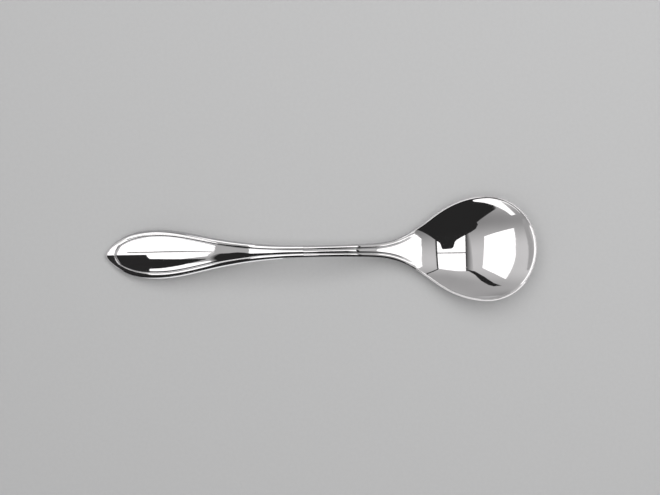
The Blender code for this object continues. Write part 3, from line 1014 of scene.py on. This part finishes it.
# Cards close to the handle, seen only in its polish: glowing patches paint highlights and dark sheets paint
# shade into its reflections
NEAR_CARDS = {
    "nose_lamp": level(BESIDE, LAMP, *rectangle(-0.126, -0.112, 0.03, 0.05)),
    "point_flag": level(BESIDE, DARK, *rectangle(-0.2, -0.0949, -0.15, -0.001)),
    "blade_flag": level(
        BESIDE, DARK,
        (-0.0949, -0.15), (-0.04, -0.15), (-0.04, -0.031), (-0.0572, -0.0305), (-0.0617, -0.0297),
        (-0.0738, -0.0265), (-0.0878, -0.0245), (-0.0949, -0.0242),
    ),
    "side_flag": upright(-0.12, DARK, (-0.2, 0.002), (-0.03, 0.002), (-0.03, 0.04), (-0.2, 0.06)),
    "thread_flag": level(
        LOW, DARK,
        (-0.065, -0.03), (-0.004, -0.03), (-0.004, -0.0047), (-0.016, -0.0053), (-0.026, -0.0061),
        (-0.036, -0.0079), (-0.046, -0.0098), (-0.065, -0.0115),
    ),
    "thread_lamp": level(
        LOW, LAMP, (-0.048, 0.022), (-0.037, 0.0102), (-0.022, 0.0078), (-0.022, 0.03), (-0.048, 0.03)
    ),
    # A glowing patch on the floor beside the handle, seen only in the polish: a painted highlight along the
    # thread's lower edge
    "painted_floor_glint": level(FLAT, LAMP, (-0.06, -0.06), (-0.012, -0.06), (-0.012, -0.004), (-0.06, -0.011)),
    "stem_flag": level(
        NEAR, DARK,
        (-0.0449, -0.12), (-0.004, -0.12), *reversed(STEM_LAMP_EDGE), *STEM_CLOTH_EDGE,
        (-0.0423, -0.0145), (-0.0449, -0.0136),
    ),
    "stem_dusk": [
        *level(NEAR, GREY, (-0.0445, -0.0125)),
        *level(NEAR, DARK, (-0.0423, -0.0145), (-0.0385, -0.0012)),
        *level(NEAR, GREY, (-0.0405, -0.0012)),
    ],
    "stem_cloth": level(
        NEAR, GREY,
        (-0.0449, -0.0136), (-0.0445, -0.0125), (-0.0405, -0.0012), *reversed(STEM_CLOTH_EDGE),
        (-0.0274, -0.0045), (-0.0274, 0.03), (-0.0417, 0.03), (-0.0417, 0.003), (-0.0427, -0.0043),
        (-0.0439, -0.0106),
    ),
    "stem_lamp": level(
        NEAR, LAMP, (-0.0274, -0.0045), *STEM_LAMP_EDGE, (-0.004, 0.03), (-0.0274, 0.03)
    ),
    "blade_rail": level(BESIDE, DARK, *band(BLADE_RAIL_EDGE, 0, BLADE_RAIL_WIDTH)),
}


def floor_material(studio):
    """Matt card with a faint mottle."""
    material = bpy.data.materials.new("pale_card")
    material.use_nodes = True
    tree = material.node_tree
    tree.nodes.clear()
    place = Socket(tree).node("ShaderNodeTexCoord", output="Object")
    mottle = place.node("ShaderNodeTexNoise", inputs={"Vector": place, "Scale": MOTTLE_SCALE, "Detail": 4.0})
    deeper = [channel * MOTTLE_TONE for channel in studio.floor]
    card = mottle.step(*MOTTLE_LEVELS).blend(opaque(studio.floor), opaque(deeper))
    matt = {"Base Color": card, "Roughness": 1.0, "Specular IOR Level": 0.0}
    shader = place.node("ShaderNodeBsdfPrincipled", inputs=matt)
    place.node("ShaderNodeOutputMaterial", inputs={"Surface": shader})
    return material


def add_floor(context, studio):
    """The plain floor that the spoon lies on."""
    half = studio.floor_size / 2
    corners = [(along, across, 0) for along, across in rectangle(-half, half, -half, half)]
    mesh = bpy.data.meshes.new("floor")
    mesh.from_pydata(corners, [], [range(len(corners))])
    mesh.materials.append(floor_material(studio))
    floor = bpy.data.objects.new("floor", mesh)
    context.scene.collection.objects.link(floor)


def card_material():
    """Painted glow for the cards, as bright as their corners say: cloth, lamps and flags that paint light and
    shade into the polish.
    """
    material = bpy.data.materials.new("painted_reflection_glow")
    material.use_nodes = True
    tree = material.node_tree
    tree.nodes.clear()
    start = Socket(tree)
    glow = start.node("ShaderNodeAttribute", settings={"attribute_name": "glow"}, output="Fac")
    light = start.node("ShaderNodeEmission", inputs={"Color": glow})
    start.node("ShaderNodeOutputMaterial", inputs={"Surface": light})
    return material


def add_card(context, name, corners, faces, material):
    """A glowing card of the studio, which the camera looks past: only reflections see it, so it lights
    nothing, casts no shadow, and its glow is painted reflection in the polish.
    """
    mesh = bpy.data.meshes.new(name)
    mesh.from_pydata([corner[:3] for corner in corners], [], faces)
    glow = mesh.attributes.new("glow", "FLOAT", "POINT")
    glow.data.foreach_set("value", [corner[3] for corner in corners])
    mesh.materials.append(material)
    card = bpy.data.objects.new(name, mesh)
    card.visible_camera = False
    card.visible_diffuse = False
    card.visible_shadow = False
    context.scene.collection.objects.link(card)


def band_faces(strips):
    """Quads of a band whose corners are listed in pairs, from one end to the other."""
    return [(start, start + 2, start + 3, start + 1) for start in range(0, 2 * strips, 2)]


def ceiling_tones(places, slant):
    """Painted brightness at places across the ceiling, where its lines have run a share of their slant."""
    lines = np.array(list(CEILING_LINES.values()))
    stops, tones = (lines[:, 0] * (1 - slant) + lines[:, 1] * slant).T
    glows = np.full_like(places, tones[0])
    for stop, run, rise in zip(stops, np.diff(stops), np.diff(tones)):
        glows += rise * ease((places - stop) / run)
    return glows


def add_ceiling(context, material):
    """The glowing ceiling, seen only in the polish, whose painted light and shade change smoothly from line
    to line.
    """
    slants = np.linspace(0, 1, CEILING_COLUMNS)
    columns = [-CEILING_REACH, *np.linspace(*CEILING_SLANT, CEILING_COLUMNS), CEILING_REACH]
    places = np.linspace(-CEILING_DEPTH, CEILING_DEPTH, CEILING_STRIPS + 1)
    tones = [ceiling_tones(places, slant) for slant in (0, *slants, 1)]
    corners = []
    for place, glows in zip(places, np.transpose(tones)):
        corners += [(column, place, CEILING, glow) for column, glow in zip(columns, glows)]
    width = len(columns)
    starts = [row * width + column for row in range(CEILING_STRIPS) for column in range(width - 1)]
    faces = [(start, start + 1, start + width + 1, start + width) for start in starts]
    add_card(context, "ceiling", corners, faces, material)


def add_wall_cloth(context, material):
    """The bowed glowing cloth, seen only in the polish, that paints a grey reflected band beside the bowl's
    front rim.
    """
    corners = []
    for across in np.linspace(*WALL_CLOTH_ENDS, WALL_CLOTH_STRIPS + 1):
        bow = WALL_CLOTH_BOW * (across - WALL_CLOTH_MIDDLE) ** 2
        corners += [(edge - bow, across, HIGH, DIM) for edge in WALL_CLOTH_EDGES]
    add_card(context, "wall_cloth", corners, band_faces(WALL_CLOTH_STRIPS), material)


def add_rim_lamp(context, shape, material):
    """A glowing strip close round the near side of the bowl, seen only in the polish, which paints a
    highlight along the rim.
    """
    stations = np.linspace(shape.joint, RIM_LAMP_END, RIM_LAMP_COLUMNS)
    edge = shape.half_width(stations)
    top = shape.upper_height(stations, edge) + RIM_LAMP_RISE
    glows = np.linspace(*RIM_LAMP_GLOWS, RIM_LAMP_COLUMNS)
    corners = []
    for place, across, height, glow in zip(POINT_X + stations, -edge - RIM_LAMP_GAP, top, glows):
        corners += [(place, across, FLAT, glow), (place, across, height, glow)]
    add_card(context, "painted_rim_highlight", corners, band_faces(RIM_LAMP_COLUMNS - 1), material)


def add_key_lamp(context, studio):
    """The large soft lamp over the spoon, which lights the floor and isn't seen or mirrored itself."""
    light = bpy.data.lights.new("key_lamp", "AREA")
    light.energy = studio.key_power
    light.shape = "RECTANGLE"
    light.size = studio.key_width
    light.size_y = studio.key_depth
    lamp = bpy.data.objects.new("key_lamp", light)
    lamp.location = (studio.key_right, studio.key_back, studio.key_height)
    lamp.visible_camera = False
    lamp.visible_glossy = False
    context.scene.collection.objects.link(lamp)


def set_world(context, studio):
    """Grey walls in the polish, a dimmer light on the floor, and the floor's colour behind the object."""
    world = bpy.data.worlds.new("studio_room")
    world.use_nodes = True
    tree = world.node_tree
    tree.nodes.clear()
    start = Socket(tree)
    seen = start.node("ShaderNodeLightPath", output="Is Camera Ray")
    mirrored = start.node("ShaderNodeLightPath", output="Is Glossy Ray")
    room = mirrored.blend(opaque(studio.ambient), opaque(studio.surround))
    backdrop = seen.blend(room, opaque(studio.floor))
    light = start.node("ShaderNodeBackground", inputs={"Color": backdrop})
    start.node("ShaderNodeOutputWorld", inputs={"Surface": light})
    context.scene.world = world


def add_camera(context, studio):
    """A camera straight above the spoon."""
    lens = bpy.data.cameras.new("camera")
    lens.sensor_fit = "HORIZONTAL"
    lens.lens = lens.sensor_width * (studio.camera_height - studio.framing_height) / studio.picture_width
    camera = bpy.data.objects.new("camera", lens)
    camera.location = (studio.camera_x, studio.camera_y, studio.camera_height)
    camera.rotation_euler.z = studio.camera_turn
    context.scene.collection.objects.link(camera)
    context.scene.camera = camera


class AddStudio(bpy.types.Operator):
    """Adds the pale floor, the soft lamps, the room and the camera"""

    bl_idname = "spoon.add_studio"
    bl_label = "Add studio"

    def execute(self, context):
        studio = context.scene.spoon_studio
        add_floor(context, studio)
        add_key_lamp(context, studio)
        # Glow for the cards, which paints light and shade into the polish
        cloth = card_material()
        add_ceiling(context, cloth)
        add_wall_cloth(context, cloth)
        add_rim_lamp(context, SpoonShape(context.scene), cloth)
        for name, corners in {**CARDS, **NEAR_CARDS}.items():
            add_card(context, name, corners, [range(len(corners))], cloth)
        set_world(context, studio)
        add_camera(context, studio)
        context.scene.view_settings.view_transform = "Standard"
        return {"FINISHED"}


class SpoonPanel(bpy.types.Panel):
    """Lists the spoon's pieces and their settings"""

    bl_idname = "VIEW3D_PT_sugar_spoon"
    bl_label = "Sugar spoon"
    bl_space_type = "VIEW_3D"
    bl_region_type = "UI"
    bl_category = "Spoon"

    def draw(self, context):
        for operator in OPERATORS:
            self.layout.operator(operator.bl_idname)
        for name in GROUPS:
            settings = getattr(context.scene, name)
            box = self.layout.box()
            for prop in settings.bl_rna.properties:
                if not prop.is_readonly and prop.identifier != "name":
                    box.prop(settings, prop.identifier)


GROUPS = {
    "spoon_outline": SpoonOutline,
    "spoon_profile": SpoonProfile,
    "spoon_trim": SpoonTrim,
    "spoon_polish": SpoonPolish,
    "spoon_studio": SpoonStudio,
}
OPERATORS = (AddBowl, AddHandle, AddStudio)
CLASSES = (*GROUPS.values(), *OPERATORS, SpoonPanel)


def register():
    """Adds the classes and the scene's settings to Blender."""
    for cls in CLASSES:
        bpy.utils.register_class(cls)
    for name, group in GROUPS.items():
        setattr(bpy.types.Scene, name, bpy.props.PointerProperty(type=group))


def unregister():
    """Takes them out again."""
    for name in GROUPS:
        delattr(bpy.types.Scene, name)
    for cls in reversed(CLASSES):
        bpy.utils.unregister_class(cls)


def main():
    register()
    bpy.ops.spoon.add_bowl()
    bpy.ops.spoon.add_handle()
    bpy.ops.spoon.add_studio()


if __name__ == "__main__":
    main()
